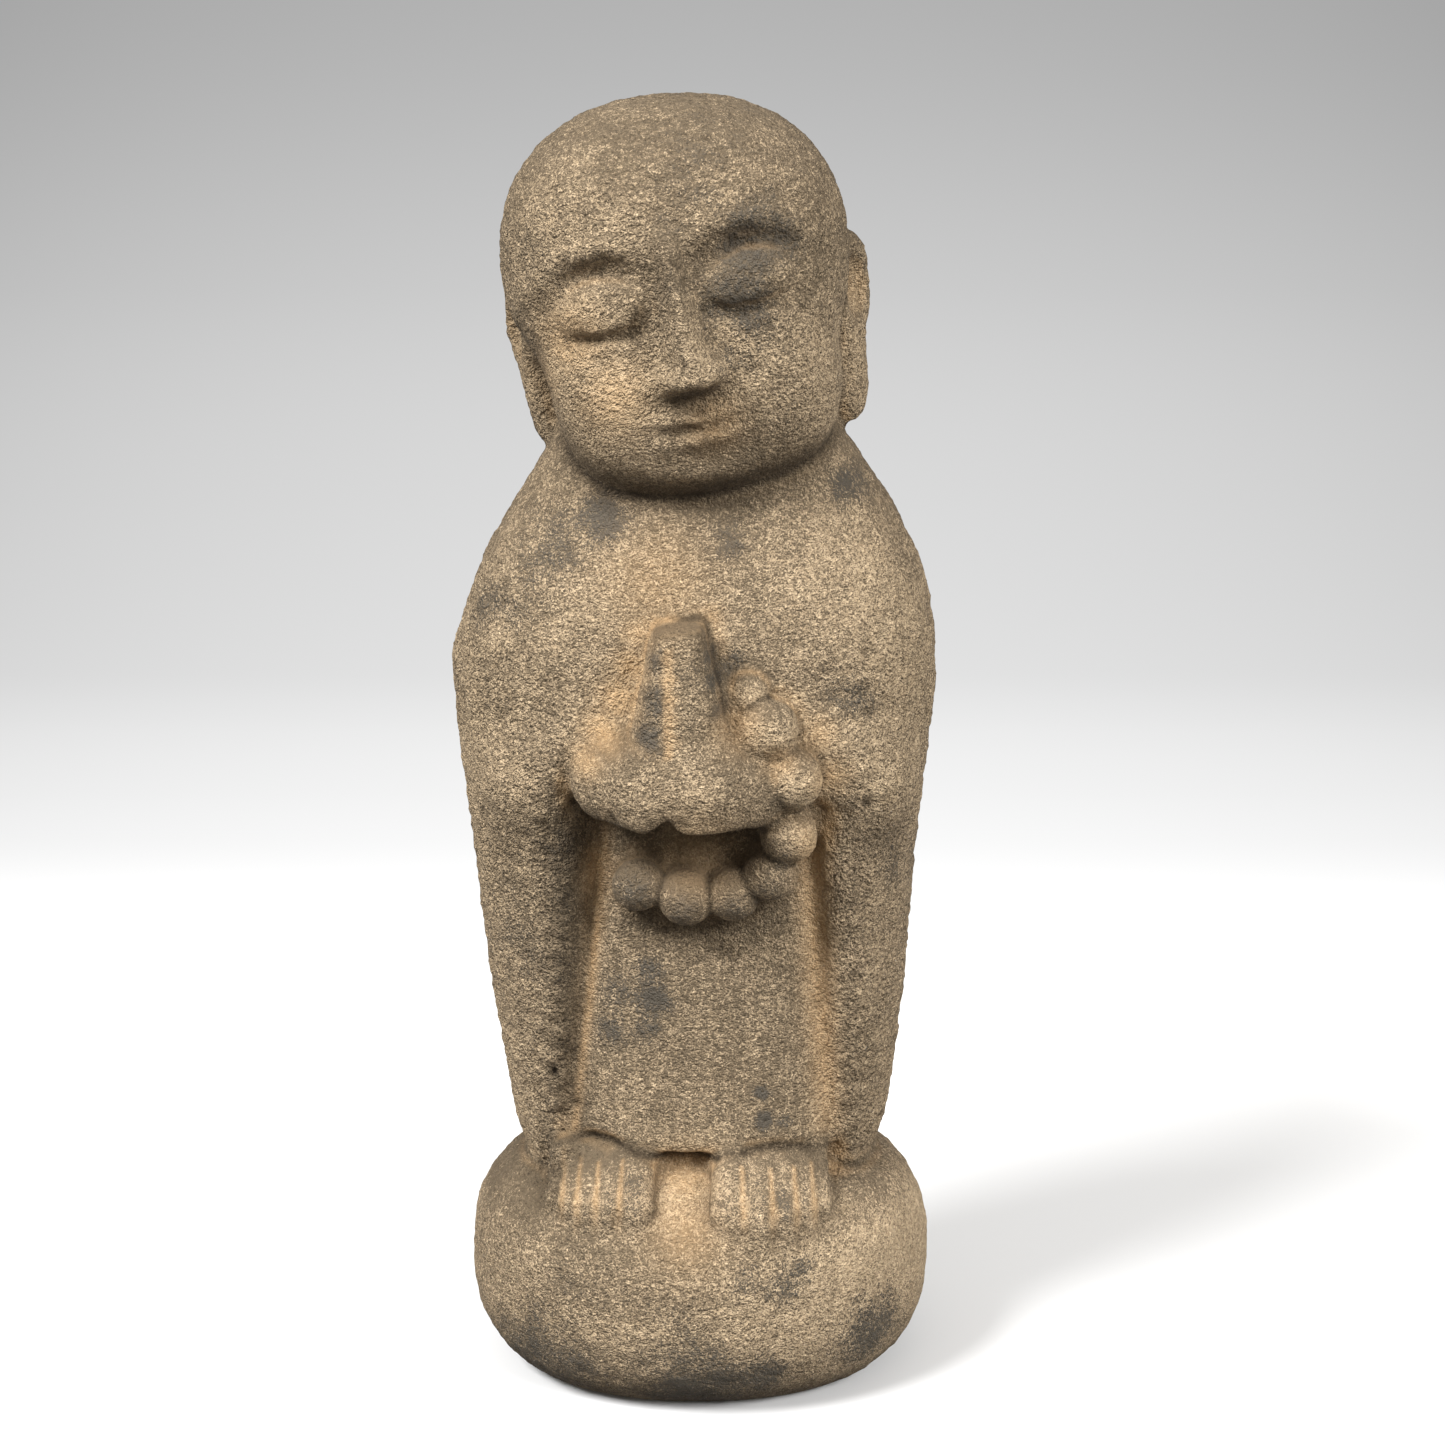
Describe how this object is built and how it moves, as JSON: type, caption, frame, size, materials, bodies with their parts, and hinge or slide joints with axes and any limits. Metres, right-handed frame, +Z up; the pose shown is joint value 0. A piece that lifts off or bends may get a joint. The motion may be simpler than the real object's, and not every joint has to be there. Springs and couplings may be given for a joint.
{
  "type": "garden statue",
  "caption": "Standing jizo monk statue with leaning bald head, palms together, prayer beads, open cloak and bare feet on a rounded base, carved as a single block of volcanic stone for a garden.",
  "frame": {"origin": "on the flat underside of the base, on the figure's upright axis", "axes": "+Z up through the crown of the head, -Y the way the figure faces, +X towards the figure's left hand"},
  "size_m": [0.1878, 0.1773, 0.5001],
  "materials": {
    "volcanic_stone": "rough, sandy, weathered tan stone with dark grey grains and blotches, and orange dust in the recesses"
  },
  "bodies": {
    "root": {"jizo_statue": "volcanic_stone"}
  },
  "joints": []
}
